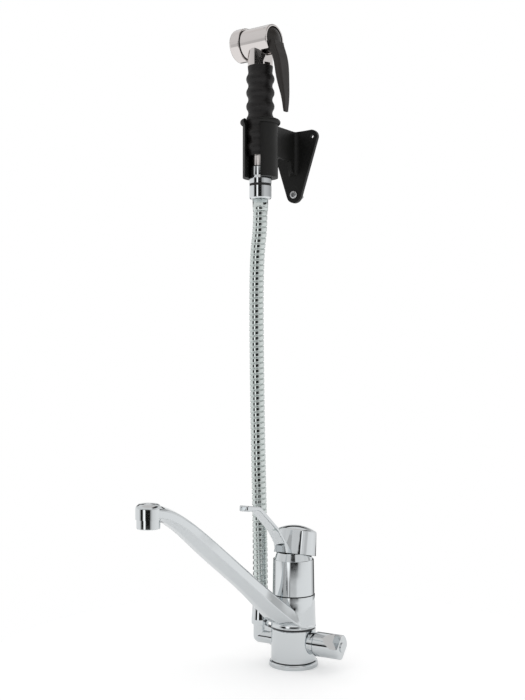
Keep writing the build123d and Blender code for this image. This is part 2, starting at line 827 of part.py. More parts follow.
grub_origin = Vector(0, 0, pivot_z) + stem_up * grub_rise
grub_plane = Plane(origin=tuple(grub_origin), x_dir=(1, 0, 0), z_dir=tuple(stem_back))
cap_cavity_top = cap_rise + cap_cavity_depth
lever_under = [(-distance, pivot_z + rise) for distance, rise in lever_under_corners]
lever_over = [(-distance, pivot_z + rise) for distance, rise in lever_over_corners]
lever_reach = max(distance for distance, rise in lever_under_corners)
with BuildPart() as handle:
    with BuildSketch(Plane.YZ):
        with BuildLine():
            under_line = FilletPolyline(
                lever_foot(lever_foot_reach), *lever_under, radius=lever_under_roundings
            )
            over_line = FilletPolyline(*lever_over, lever_foot(lever_root_reach), radius=lever_over_roundings)
            Line(under_line @ 1, over_line @ 0)
            Line(over_line @ 1, under_line @ 0)
        make_face()
    extrude(amount=lever_root_half_width, both=True)
    with BuildSketch(Plane.XY.offset(pivot_z)):
        with BuildLine():
            Polyline(
                (-lever_root_half_width, -lever_root_reach),
                (lever_root_half_width, -lever_root_reach),
                (lever_tip_half_width, -lever_reach),
                (-lever_tip_half_width, -lever_reach),
                close=True,
            )
        make_face()
    extrude(amount=lever_reach, mode=Mode.INTERSECT)
    fillet(handle.faces().sort_by(Axis.Y)[0].edges().group_by(SortBy.LENGTH)[0], lever_tip_rounding)
    foot_face = handle.faces().sort_by(cap_axis)[0]
    fillet(handle.edges() - foot_face.edges(), lever_rounding)
    with BuildSketch(cap_section) as cap_half:
        with BuildLine():
            cap_rim = cap_rise + cap_height
            crown_arc = TangentArc((0, cap_rim + cap_crown), (cap_top_radius, cap_rim), tangent=(1, 0))
            wall_line = Line(crown_arc @ 1, (cap_bottom_radius, cap_rise))
            floor_line = Line(wall_line @ 1, (0, cap_rise))
            Line(floor_line @ 1, crown_arc @ 0)
        make_face()
        fillet(cap_half.vertices().sort_by(Axis.X)[-2:].sort_by(Axis.Y)[-1], cap_rim_rounding)
    revolve(axis=cap_axis)
    revolve(
        outline(
            cap_section,
            (0, cap_rise - cut_margin),
            (cap_bottom_radius - cap_wall, cap_rise - cut_margin),
            (cap_bottom_radius - cap_wall, cap_cavity_top - cap_cavity_corner),
            (cap_bottom_radius - cap_wall - cap_cavity_corner, cap_cavity_top),
            (0, cap_cavity_top),
        ),
        axis=cap_axis,
        mode=Mode.SUBTRACT,
    )
    with BuildSketch(stem_plane.offset(boss_rise)):
        Circle(boss_radius)
    extrude(amount=boss_length)
    with BuildSketch(stem_plane):
        Rectangle(stem_side + 2 * socket_gap, stem_side + 2 * socket_gap)
    extrude(amount=stem_rise + seat_gap, mode=Mode.SUBTRACT)
    with BuildSketch(grub_plane):
        Circle(grub_radius + thread_gap)
    extrude(amount=2 * cap_bottom_radius, mode=Mode.SUBTRACT)

grub_start = stem_side / 2 + running_gap
with BuildPart() as handle_grub_screw:
    with BuildSketch(grub_plane.offset(grub_start)):
        Circle(grub_radius)
    extrude(amount=grub_length)
    with BuildSketch(grub_plane.offset(grub_start + grub_length)):
        RegularPolygon(grub_key_radius, 6)
    extrude(amount=-grub_key_depth, mode=Mode.SUBTRACT)

# The plug covers the screw's hole at the cap's back face
plug_turn = radians(handle_tilt + stem_lean)
plug_slope = (cap_bottom_radius - cap_top_radius) / cap_height
plug_wall_radius = cap_bottom_radius + plug_slope * (cap_rise - grub_rise * cos(plug_turn))
plug_reach = (plug_wall_radius + grub_rise * sin(plug_turn)) / (cos(plug_turn) + plug_slope * sin(plug_turn))
with BuildPart() as handle_plug:
    with BuildSketch(grub_plane.offset(plug_reach + plug_proud)):
        Circle(grub_radius)
    extrude(amount=-plug_length)
    fillet(handle_plug.faces().sort_by(Axis(tuple(grub_origin), tuple(stem_back)))[-1].edges(), plug_rounding)

# Side valve: headwork, disc, spindle, seal, knob, screw and cap
headwork_seat = valve_boss_reach
collar_end = headwork_seat + headwork_collar_width
stub_end = collar_end + headwork_stub_length
disc_start = valve_bore_bottom + seat_gap
disc_end = disc_start + valve_disc_width
bore_of_headwork = spindle_radius + running_gap
with BuildPart() as valve_headwork:
    revolve(
        outline(
            valve_section,
            (disc_end + turning_gap, bore_of_headwork),
            (disc_end + turning_gap, valve_bore_radius - thread_gap),
            (headwork_seat, valve_bore_radius - thread_gap),
            (headwork_seat, headwork_collar_radius),
            (collar_end, headwork_collar_radius),
            (collar_end, headwork_stub_radius),
            (stub_end, headwork_stub_radius),
            (stub_end, bore_of_headwork),
        ),
        axis=valve_axis,
    )

with BuildPart() as valve_disc:
    with BuildSketch(Plane.YZ.offset(disc_start)):
        with Locations((0, valve_height)):
            Circle(valve_disc_radius)
        with Locations((0, valve_height + valve_port_offset)):
            Circle(valve_port_radius, mode=Mode.SUBTRACT)
    extrude(amount=valve_disc_width)

groove_middle = stub_end - spindle_groove_inset
groove_half = spindle_oring_section / 2 + thread_gap
spindle_groove_radius = spindle_radius - spindle_groove_depth
screw_seat = spindle_reach + knob_screw_seat
knob_end = screw_seat + knob_recess_depth
with BuildPart() as valve_spindle:
    revolve(
        outline(
            valve_section,
            (disc_end, 0),
            (disc_end, spindle_radius),
            (groove_middle - groove_half, spindle_radius),
            (groove_middle - groove_half, spindle_groove_radius),
            (groove_middle + groove_half, spindle_groove_radius),
            (groove_middle + groove_half, spindle_radius),
            (spindle_reach, spindle_radius),
            (spindle_reach, 0),
        ),
        axis=valve_axis,
    )
    with BuildSketch(Plane.YZ.offset(spindle_reach)):
        with Locations((0, valve_height)):
            Circle(knob_screw_radius + running_gap)
    extrude(amount=-knob_screw_length, mode=Mode.SUBTRACT)

with BuildPart() as spindle_oring:
    with BuildSketch(valve_section):
        with Locations((groove_middle, spindle_radius - spindle_oring_section / 2)):
            Circle(spindle_oring_section / 2)
    revolve(axis=valve_axis)

with BuildPart() as valve_knob:
    with BuildSketch(Plane.YZ.offset(knob_start)):
        with Locations((0, valve_height)):
            Circle(knob_radius)
    extrude(amount=knob_end - knob_start)
    fillet(valve_knob.faces().sort_by(Axis.X)[-1].edges(), knob_rounding)
    # Two grip flats with a slanted run-out, on the upper front and the lower back
    flat_start = knob_end - knob_flat_length
    runout_reach = knob_radius + cut_margin
    runout_start = flat_start - knob_flat_runout * (runout_reach - knob_flat_distance) / (
        knob_radius - knob_flat_distance
    )
    for side in (1, -1):
        flat_section = Plane(origin=(0, 0, valve_height), x_dir=(1, 0, 0), z_dir=(0, -side, -side))
        flat_outline = outline(
            flat_section,
            (knob_end + cut_margin, knob_flat_distance),
            (flat_start, knob_flat_distance),
            (runout_start, runout_reach),
            (knob_end + cut_margin, runout_reach),
        )
        extrude(flat_outline, amount=knob_radius, both=True, mode=Mode.SUBTRACT)
    with BuildSketch(Plane.YZ.offset(knob_start)):
        with Locations((0, valve_height)):
            Circle(knob_radius - knob_wall)
    extrude(amount=knob_cavity_depth, mode=Mode.SUBTRACT)
    with BuildSketch(Plane.YZ.offset(knob_start)):
        with Locations((0, valve_height)):
            Circle(spindle_radius + thread_gap)
    extrude(amount=spindle_reach - knob_start, mode=Mode.SUBTRACT)
    with BuildSketch(Plane.YZ.offset(spindle_reach)):
        with Locations((0, valve_height)):
            Circle(knob_screw_radius + turning_gap)
    extrude(amount=screw_seat - spindle_reach, mode=Mode.SUBTRACT)
    with BuildSketch(Plane.YZ.offset(screw_seat)):
        with Locations((0, valve_height)):
            Circle(knob_cap_radius - knob_cap_step)
    extrude(amount=knob_end - screw_seat, mode=Mode.SUBTRACT)

with BuildPart() as knob_screw:
    with BuildSketch(Plane.YZ.offset(screw_seat)):
        with Locations((0, valve_height)):
            Circle(knob_screw_head_radius)
    extrude(amount=knob_screw_head_height)
    with BuildSketch(Plane.YZ.offset(screw_seat)):
        with Locations((0, valve_height)):
            Circle(knob_screw_radius)
    extrude(amount=-(knob_screw_length - knob_screw_seat))
    with BuildSketch(Plane.YZ.offset(screw_seat + knob_screw_head_height)):
        with Locations((0, valve_height)):
            Rectangle(knob_screw_slot, 2 * knob_screw_head_radius)
    extrude(amount=-knob_screw_slot, mode=Mode.SUBTRACT)

with BuildPart() as knob_cap:
    with BuildSketch(Plane.YZ.offset(knob_end)):
        with Locations((0, valve_height)):
            Circle(knob_cap_radius)
    extrude(amount=knob_cap_height)
    fillet(knob_cap.faces().sort_by(Axis.X)[-1].edges(), knob_cap_rounding)
    with BuildSketch(Plane.YZ.offset(knob_end)):
        with Locations((0, valve_height)):
            Circle(knob_cap_radius - knob_cap_step - thread_gap)
    extrude(amount=-knob_cap_stem)

# Outlet elbow with its nipple, and the seal ring on it
elbow_top = valve_height + elbow_rise
elbow_shoulder = -outlet_boss_reach - thread_gap
nipple_radius = outlet_socket_radius - thread_gap
nipple_end = -outlet_boss_reach + outlet_socket_depth - nipple_end_gap
elbow_groove = nipple_end - elbow_groove_inset
elbow_groove_radius = nipple_radius - elbow_oring_section
with BuildPart() as outlet_elbow:
    with BuildSketch(Plane.YZ.offset(elbow_shoulder)):
        with Locations((0, valve_height)):
            Circle(elbow_radius)
    extrude(amount=hose_x - elbow_shoulder)
    with Locations((hose_x, 0, valve_height)):
        Sphere(elbow_radius)
    with BuildSketch(Plane.XY.offset(valve_height)):
        with Locations((hose_x, 0)):
            Circle(elbow_radius)
    extrude(amount=elbow_rise)
    # Web in the inner corner
    elbow_web = outline(
        valve_section,
        (hose_x, 0),
        (elbow_shoulder, 0),
        (elbow_shoulder, elbow_web_rise - elbow_web_fall),
        (hose_x + elbow_radius, elbow_web_rise),
        (hose_x, elbow_web_rise),
    )
    extrude(elbow_web, amount=elbow_web_thickness / 2, both=True)
    with BuildSketch(Plane.YZ.offset(elbow_shoulder)):
        with Locations((0, valve_height)):
            Circle(nipple_radius)
    extrude(amount=nipple_end - elbow_shoulder)
    with BuildSketch(Plane.YZ.offset(elbow_groove - elbow_oring_section / 2 - thread_gap)):
        with Locations((0, valve_height)):
            Circle(nipple_radius + cut_margin)
            Circle(elbow_groove_radius, mode=Mode.SUBTRACT)
    extrude(amount=elbow_oring_section + 2 * thread_gap, mode=Mode.SUBTRACT)
    with BuildSketch(Plane.YZ.offset(nipple_end)):
        with Locations((0, valve_height)):
            Circle(elbow_bore_radius)
    extrude(amount=hose_x - nipple_end, mode=Mode.SUBTRACT)
    with BuildSketch(Plane.XY.offset(valve_height)):
        with Locations((hose_x, 0)):
            Circle(elbow_bore_radius)
    extrude(amount=elbow_rise, mode=Mode.SUBTRACT)

with BuildPart() as elbow_oring:
    with BuildSketch(valve_section):
        with Locations((elbow_groove, nipple_radius - elbow_oring_section / 2 + running_gap)):
            Circle(elbow_oring_section / 2)
    revolve(axis=valve_axis)

# Lower end of the hose: washer, ferrule and conical nut
lower_washer_top = elbow_top + washer_height
lower_nut_top = lower_nut_bottom + lower_nut_height
with BuildPart() as lower_hose_washer:
    with BuildSketch(Plane.XY.offset(elbow_top)):
        with Locations((hose_x, 0)):
            Circle(elbow_radius)
            Circle(elbow_bore_radius, mode=Mode.SUBTRACT)
    extrude(amount=washer_height)

ferrule_shoulder = lower_washer_top + ferrule_head_height
with BuildPart() as lower_hose_ferrule:
    revolve(
        outline(
            column_section,
            (hose_bore_radius, lower_washer_top),
            (ferrule_head_radius, lower_washer_top),
            (ferrule_head_radius, ferrule_shoulder),
            (ferrule_radius, ferrule_shoulder),
            (ferrule_radius, lower_nut_top),
            (hose_bore_radius, lower_nut_top),
        ),
        axis=column_axis,
    )

with BuildPart() as lower_hose_nut:
    revolve(
        outline(
            column_section,
            (elbow_radius + thread_gap, lower_nut_bottom),
            (lower_nut_radius - lower_nut_foot_chamfer, lower_nut_bottom),
            (lower_nut_radius, lower_nut_bottom + lower_nut_foot_chamfer),
            (lower_nut_radius, lower_nut_bottom + lower_nut_shoulder),
            (lower_nut_top_radius, lower_nut_top),
            (ferrule_radius + thread_gap, lower_nut_top),
            (ferrule_radius + thread_gap, ferrule_shoulder + thread_gap),
            (elbow_radius + thread_gap, ferrule_shoulder + thread_gap),
        ),
        axis=column_axis,
    )

# Hose: a ribbed tube on straight runs and arcs
hose_points = [Vector(hose_x + x, 0, z) for x, z in hose_route]
corner_radii = []
for before, corner, after in zip(hose_points, hose_points[1:], hose_points[2:]):
    turn = (corner - before).get_angle(after - corner)
    shorter = min((corner - before).length, (after - corner).length)
    corner_radii.append(0.45 * shorter / tan(radians(turn / 2)))
print("hose radii", [round(radius) for radius in corner_radii])
with BuildLine() as hose_path:
    FilletPolyline(*hose_points, radius=corner_radii)
hose_wire = hose_path.wire()
hose_length = hose_wire.length
print("hose length", round(hose_length, 1))

# One rib: share of the pitch along the hose, share of the rib's depth below the crest
rib_shape = ((0.0, 1.0), (0.18, 0.15), (0.5, 0.0), (0.82, 0.15))
ribbed_length = hose_length - 2 * hose_end_straight
rib_pitch = ribbed_length / hose_rib_count


def hose_plane(distance):
    """The plane across the hose at a distance along it, on a steady X axis."""
    share = distance / hose_length
    along = hose_wire % share
    side = Vector(0, 1, 0).cross(along)
    return Plane(origin=tuple(hose_wire @ share), x_dir=tuple(side), z_dir=tuple(along))


with BuildPart() as hose:
    rings = [(0.0, hose_radius), (hose_end_straight - hose_end_step, hose_radius)]
    for rib in range(hose_rib_count):
        for share, depth in rib_shape:
            distance = hose_end_straight + (rib + share) * rib_pitch
            rings.append((distance, hose_radius - depth * hose_rib_depth))
    rings.append((hose_length - hose_end_straight, hose_radius - hose_rib_depth))
    rings.append((hose_length - hose_end_straight + hose_end_step, hose_radius))
    rings.append((hose_length, hose_radius))
    for distance, radius in rings:
        with BuildSketch(hose_plane(distance)):
            Circle(radius)
    loft(ruled=True)
    with BuildSketch(hose_plane(0)):
        Circle(hose_bore_radius)
    sweep(path=hose_wire, mode=Mode.SUBTRACT)

# Upper end of the hose: ferrule, washer, nut, seal ring and swivel connector
connector_bottom = upper_nut_bottom + upper_nut_height + seal_ring_height
thread_bottom = connector_bottom - connector_thread_length - seal_ring_height
upper_washer_bottom = thread_bottom - washer_height
ferrule_head_bottom = upper_washer_bottom - ferrule_head_height
connector_top = connector_bottom + connector_height
swivel_top = connector_top + swivel_length
with BuildPart() as upper_hose_ferrule:
    revolve(
        outline(
            column_section,
            (hose_bore_radius, upper_nut_bottom),
            (ferrule_radius, upper_nut_bottom),
            (ferrule_radius, ferrule_head_bottom),
            (ferrule_head_radius, ferrule_head_bottom),
            (ferrule_head_radius, upper_washer_bottom),
            (hose_bore_radius, upper_washer_bottom),
        ),
        axis=column_axis,
    )

with BuildPart() as upper_hose_washer:
    with BuildSketch(Plane.XY.offset(upper_washer_bottom)):
        with Locations((hose_x, 0)):
            Circle(connector_thread_radius)
            Circle(connector_bore_radius, mode=Mode.SUBTRACT)
    extrude(amount=washer_height)

with BuildPart() as upper_hose_nut:
    with BuildSketch(Plane.XY.offset(upper_nut_bottom)):
        with Locations((hose_x, 0)):
            Circle(upper_nut_radius)
    extrude(amount=upper_nut_height)
    fillet(upper_hose_nut.faces().sort_by(Axis.Z)[0].edges(), upper_nut_rounding)
    with BuildSketch(Plane.XY.offset(upper_nut_bottom)):
        with Locations((hose_x, 0)):
            Circle(ferrule_radius + thread_gap)
    extrude(amount=upper_nut_height, mode=Mode.SUBTRACT)
    with BuildSketch(Plane.XY.offset(upper_nut_bottom + upper_nut_floor)):
        with Locations((hose_x, 0)):
            Circle(connector_thread_radius + thread_gap)
    extrude(amount=upper_nut_height, mode=Mode.SUBTRACT)

with BuildPart() as connector_seal_ring:
    with BuildSketch(Plane.XY.offset(upper_nut_bottom + upper_nut_height)):
        with Locations((hose_x, 0)):
            Circle(seal_ring_radius)
            Circle(seal_ring_bore_radius, mode=Mode.SUBTRACT)
    extrude(amount=seal_ring_height)

swivel_groove = connector_top + swivel_length / 2
swivel_groove_half = swivel_oring_section / 2 + thread_gap
swivel_groove_radius = swivel_radius - swivel_oring_section + running_gap
with BuildPart() as spray_connector:
    revolve(
        outline(
            column_section,
            (connector_bore_radius, thread_bottom),
            (connector_thread_radius, thread_bottom),
            (connector_thread_radius, connector_bottom),
            (upper_nut_radius, connector_bottom),
            (upper_nut_radius, connector_bottom + connector_wide_height),
            (connector_radius, connector_bottom + connector_wide_height + connector_taper_height),
            (connector_radius, connector_top - connector_chamfer),
            (connector_radius - connector_chamfer, connector_top),
            (swivel_radius, connector_top),
            (swivel_radius, swivel_groove - swivel_groove_half),
            (swivel_groove_radius, swivel_groove - swivel_groove_half),
            (swivel_groove_radius, swivel_groove + swivel_groove_half),
            (swivel_radius, swivel_groove + swivel_groove_half),
            (swivel_radius, swivel_top),
            (connector_bore_radius, swivel_top),
        ),
        axis=column_axis,
    )

with BuildPart() as swivel_oring:
    with BuildSketch(column_section):
        with Locations((swivel_radius - swivel_oring_section / 2 + running_gap / 2, swivel_groove)):
            Circle(swivel_oring_section / 2 - running_gap / 2)
    revolve(axis=column_axis)

# Handset body: fitting, stem, neck and head in one piece
fitting_bottom = connector_top + axial_gap
grip_bottom = fitting_bottom + fitting_height
grip_top = grip_bottom + grip_length
head_z = grip_top + head_rise
hand_section = Plane(origin=(hose_x, 0, 0), x_dir=tuple(hand_x), z_dir=tuple(hand_normal))
head_section = Plane(origin=(hose_x, 0, head_z), x_dir=tuple(hand_x), z_dir=tuple(hand_normal))
head_axis = Axis((hose_x, 0, head_z), tuple(hand_x))
hand_deck = Plane(origin=(hose_x, 0, 0), x_dir=tuple(hand_x), z_dir=(0, 0, 1))


def across_head(x):
    """The plane across the head's axis at a distance towards the trigger."""
    place = Vector(hose_x, 0, head_z) + hand_x * x
    return Plane(origin=tuple(place), x_dir=tuple(hand_normal), z_dir=tuple(hand_x))


chamber_floor = head_back - head_back_depth
front_floor = -head_front + head_front_depth
chamber_radius = head_radius - head_wall
with BuildPart() as handset_body:
    with BuildSketch(hand_deck.offset(fitting_bottom)):
        Circle(fitting_radius)
    extrude(amount=fitting_height)
    with BuildSketch(hand_deck.offset(grip_bottom)):
        Circle(stem_radius)
    extrude(amount=grip_length)
    with BuildSketch(hand_deck.offset(grip_top)):
        Circle(neck_radius)
    extrude(amount=head_rise)
    with BuildSketch(across_head(-head_front)):
        Circle(head_radius)
    extrude(amount=head_front + head_back)
    fillet(handset_body.faces().sort_by(head_axis)[-1].outer_wire().edges(), head_rim_rounding)
    # Chamber of the trigger, with its notch below
    with BuildSketch(across_head(chamber_floor)):
        Circle(chamber_radius)
    extrude(amount=head_back_depth, mode=Mode.SUBTRACT)
    with BuildSketch(across_head(chamber_floor + notch_inset)):
        with Locations((0, head_radius)):
            Rectangle(2 * notch_half_width, 2 * (head_radius - sqrt(chamber_radius**2 - notch_half_width**2)))
    extrude(amount=head_back_depth, mode=Mode.SUBTRACT)
    # Bores of the nozzle and the plunger, water channel and pin holes
    with BuildSketch(across_head(-head_front)):
        Circle(head_front_bore_radius)
    extrude(amount=head_front_depth, mode=Mode.SUBTRACT)
    with BuildSketch(across_head(front_floor)):
        Circle(plunger_radius + running_gap)
    extrude(amount=chamber_floor - front_floor, mode=Mode.SUBTRACT)
    with BuildSketch(across_head(front_floor)):
        Circle(plunger_radius + plunger_guide_gap)
    extrude(amount=cut_margin - front_floor, mode=Mode.SUBTRACT)
    with BuildSketch(hand_deck.offset(fitting_bottom)):
        Circle(stem_channel_radius)
    extrude(amount=head_z - fitting_bottom, mode=Mode.SUBTRACT)
    with BuildSketch(hand_deck.offset(fitting_bottom)):
        Circle(swivel_radius + running_gap)
    extrude(amount=swivel_length + cut_margin, mode=Mode.SUBTRACT)
    with BuildSketch(head_section.offset(-trigger_pin_half_length)):
        with Locations((trigger_pivot_x, trigger_pivot_rise)):
            Circle(trigger_pin_radius + running_gap)
    extrude(amount=2 * trigger_pin_half_length, mode=Mode.SUBTRACT)

# Rubber grip: a sleeve with rounded ribs, four equal arcs to a rib
with BuildPart() as rubber_grip:
    with BuildSketch(hand_section):
        with BuildLine():
            bore_radius = stem_radius + thread_gap
            start_line = Line((bore_radius, grip_bottom), (grip_radius, grip_bottom))
            wave_z = grip_bottom + grip_first_rib - grip_rib_pitch / 2
            wave = Line(start_line @ 1, (grip_radius, wave_z))
            for rib in range(grip_rib_count):
                for share in (0.5, 1, 0.5, 0):
                    wave_z += grip_rib_pitch / 4
                    wave = TangentArc(
                        wave @ 1, (grip_radius + share * grip_rib_height, wave_z), tangent=wave % 1
                    )
            end_line = Line(wave @ 1, (grip_end_radius, grip_top))
            top_line = Line(end_line @ 1, (bore_radius, grip_top))
            Line(top_line @ 1, start_line @ 0)
        make_face()
    revolve(axis=column_axis)

# Nozzle: seal ring, screwed ring and spray face
oring_end = -head_front - head_oring_width
nozzle_end = oring_end - nozzle_length
with BuildPart() as head_oring:
    with BuildSketch(across_head(-head_front)):
        Circle(head_oring_radius)
        Circle(head_front_bore_radius, mode=Mode.SUBTRACT)
    extrude(amount=-head_oring_width)

face_front = nozzle_end + face_setback
face_back = face_front + face_thickness
nozzle_sleeve_radius = head_front_bore_radius - thread_gap
with BuildPart() as nozzle_ring:
    with BuildSketch(across_head(oring_end)):
        Circle(nozzle_radius)
    extrude(amount=-nozzle_length)
    fillet(nozzle_ring.faces().sort_by(head_axis)[0].edges(), nozzle_rounding)
    fillet(nozzle_ring.faces().sort_by(head_axis)[-1].edges(), nozzle_back_rounding)
    with BuildSketch(across_head(oring_end)):
        Circle(nozzle_sleeve_radius)
    extrude(amount=nozzle_thread_length)
    with BuildSketch(across_head(nozzle_end)):
        Circle(nozzle_sleeve_radius - nozzle_wall)
    extrude(amount=nozzle_length + nozzle_thread_length, mode=Mode.SUBTRACT)
    with BuildSketch(across_head(nozzle_end)):
        Circle(nozzle_sleeve_radius - nozzle_wall + face_ledge)
    extrude(amount=face_setback + face_thickness, mode=Mode.SUBTRACT)

spring_back = front_floor - plunger_seal_width - plunger_head_width - plunger_travel - seat_gap
spring_front = spring_back - spring_room
with BuildPart() as spray_face:
    with BuildSketch(across_head(face_front)):
        Circle(nozzle_sleeve_radius - nozzle_wall + face_ledge - thread_gap)
        for hole_circle, hole_count in spray_hole_circles:
            with PolarLocations(hole_circle, hole_count):
                Circle(spray_hole_radius, mode=Mode.SUBTRACT)
    extrude(amount=face_thickness)
    with BuildSketch(across_head(face_back)):
        Circle(spring_post_radius)
    extrude(amount=spring_front - face_back)

# Trigger: round plug in the head, domed behind, and the tapering blade
with BuildPart() as trigger:
    for drop, inner, outer, width in trigger_stations:
        with BuildSketch(hand_deck.offset(head_z - drop)):
            with Locations(((inner + outer) / 2, 0)):
                RectangleRounded(outer - inner, width, min(outer - inner, width) * trigger_edge_share)
    loft()
    with BuildSketch(head_section):
        with BuildLine():
            back_line = Line((plug_front, 0), (plug_front, plug_radius))
            rim_line = Line(back_line @ 1, (head_back - plug_edge, plug_radius))
            dome_arc = TangentArc((head_back + plug_dome, 0), rim_line @ 1, tangent=(0, 1))
            Line(dome_arc @ 0, back_line @ 0)
        make_face()
    revolve(axis=head_axis)
    with BuildSketch(head_section.offset(-head_radius)):
        with Locations((trigger_pivot_x, trigger_pivot_rise)):
            Circle(trigger_pin_radius + running_gap)
    extrude(amount=2 * head_radius, mode=Mode.SUBTRACT)

with BuildPart() as trigger_pin:
    with BuildSketch(head_section.offset(-trigger_pin_half_length)):
        with Locations((trigger_pivot_x, trigger_pivot_rise)):
            Circle(trigger_pin_radius)
    extrude(amount=2 * trigger_pin_half_length)

# Plunger, its seal and its spring
seal_end = front_floor - plunger_seal_width
plunger_head_end = seal_end - plunger_head_width
with BuildPart() as valve_plunger:
    with BuildSketch(across_head(seal_end)):
        Circle(plunger_radius)
    extrude(amount=plug_front - turning_gap - seal_end)
    with BuildSketch(across_head(plunger_head_end)):
        Circle(plunger_head_radius)
    extrude(amount=plunger_head_width)

with BuildPart() as plunger_seal:
    with BuildSketch(across_head(seal_end)):
        Circle(plunger_head_radius)
        Circle(plunger_radius + running_gap, mode=Mode.SUBTRACT)
    extrude(amount=plunger_seal_width - running_gap)

spring_length = plunger_head_end - spring_front - plunger_travel - seat_gap - running_gap
with BuildPart() as plunger_spring:
    with BuildSketch(across_head(plunger_head_end - running_gap)):
        Circle(spring_radius)
        Circle(spring_radius - 2 * spring_wire_radius, mode=Mode.SUBTRACT)
    extrude(amount=-spring_length)

# Holder: slotted barrel, rim bead, arm and wall plate. The grip stands on the ledge in its bore.
holder_bottom = grip_bottom - axial_gap - holder_ledge_height
holder_top = holder_bottom + holder_height
plate_front = wall_y - plate_thickness
plate_top_z = holder_bottom + plate_top_centre_rise
plate_bottom_z = holder_bottom - plate_bottom_centre_drop
with BuildPart() as spray_holder:
    with BuildSketch(Plane.XY.offset(holder_bottom)):
        with Locations((hose_x, 0)):
            Circle(holder_radius)
    extrude(amount=holder_height - bead_radius)
    with BuildSketch(column_section):
        with Locations((holder_bore_radius + bead_radius, holder_top - bead_radius)):
            Circle(bead_radius)
    revolve(axis=column_axis)
    # Wall plate, an upside-down triangle with round corners
    with BuildSketch(Plane(origin=(hose_x, wall_y, 0), x_dir=(1, 0, 0), z_dir=(0, -1, 0))):
        with Locations((plate_top_half_width, plate_top_z), (-plate_top_half_width, plate_top_z)):
            Circle(plate_top_corner_radius)
        with Locations((0, plate_bottom_z)):
            Circle(plate_bottom_corner_radius)
        make_hull()
        # The top edge sags between the two corners
        sag_radius = (plate_top_half_width**2 + plate_top_sag**2) / (2 * plate_top_sag)
        with Locations((0, plate_top_z + plate_top_corner_radius - plate_top_sag + sag_radius)):
            Circle(sag_radius, mode=Mode.SUBTRACT)
    extrude(amount=plate_thickness)
    # Arm: a web that runs out in a rib down the plate, flared where it meets the plate
    arm_bottom = holder_bottom + arm_bottom_rise
    rib_bottom = arm_bottom - arm_rib_height
    arm_end_top = plate_top_z + plate_top_corner_radius - plate_top_sag - arm_top_inset
    with BuildSketch(Plane.YZ.offset(hose_x - arm_thickness / 2)):
        with BuildLine():
            Polyline(
                (holder_bore_radius + joint_depth, arm_bottom),
                (plate_front - arm_rib_reach, arm_bottom),
                (plate_front - arm_rib_reach + arm_rib_lean, rib_bottom),
                (plate_front + joint_depth, rib_bottom - arm_rib_foot),
                (plate_front + joint_depth, arm_end_top),
                (holder_bore_radius + joint_depth, holder_top - arm_top_drop),
                close=True,
            )
        make_face()
    extrude(amount=arm_thickness)
    upright_edges = spray_holder.edges().filter_by(Axis.Z)
    web_edges = upright_edges.filter_by_position(Axis.Y, plate_front - axial_gap, plate_front + axial_gap)
    fillet(web_edges.sort_by(SortBy.LENGTH)[-2:], arm_flare)
    # Bore with its ledge, open slot towards the front, and screw holes
    with BuildSketch(Plane.XY.offset(holder_bottom)):
        with Locations((hose_x, 0)):
            Circle(holder_ledge_radius)
    extrude(amount=holder_height + cut_margin, mode=Mode.SUBTRACT)
    with BuildSketch(Plane.XY.offset(holder_bottom + holder_ledge_height)):
        with Locations((hose_x, 0)):
            Circle(holder_bore_radius)
    extrude(amount=holder_height, mode=Mode.SUBTRACT)
    with BuildSketch(Plane.XY.offset(holder_bottom)):
        with Locations((hose_x, -holder_radius)):
            Rectangle(holder_slot_width, 2 * holder_radius)
    extrude(amount=holder_height + cut_margin, mode=Mode.SUBTRACT)
    with BuildSketch(Plane(origin=(hose_x, wall_y, 0), x_dir=(1, 0, 0), z_dir=(0, -1, 0))):
        with Locations(
            (wall_hole_spacing / 2, plate_top_z),
            (-wall_hole_spacing / 2, plate_top_z),
            (0, plate_bottom_z),
        ):
            Circle(wall_hole_radius)
    extrude(amount=plate_thickness, mode=Mode.SUBTRACT)

# Screw in the plate's lower hole
with BuildPart() as lower_wall_screw:
    screw_plane = Plane(origin=(hose_x, plate_front, plate_bottom_z), x_dir=(1, 0, 0), z_dir=(0, -1, 0))
    with BuildSketch(screw_plane):
        Circle(screw_head_radius)
    extrude(amount=screw_head_height)
    fillet(lower_wall_screw.faces().sort_by(Axis.Y)[0].edges(), screw_head_rounding)
    with BuildSketch(screw_plane):
        Circle(screw_shank_radius)
    extrude(amount=-screw_length)
    with BuildSketch(screw_plane.offset(screw_head_height)):
        Rectangle(screw_recess_length, screw_recess_width)
        Rectangle(screw_recess_width, screw_recess_length)
    extrude(amount=-screw_recess_depth, mode=Mode.SUBTRACT)

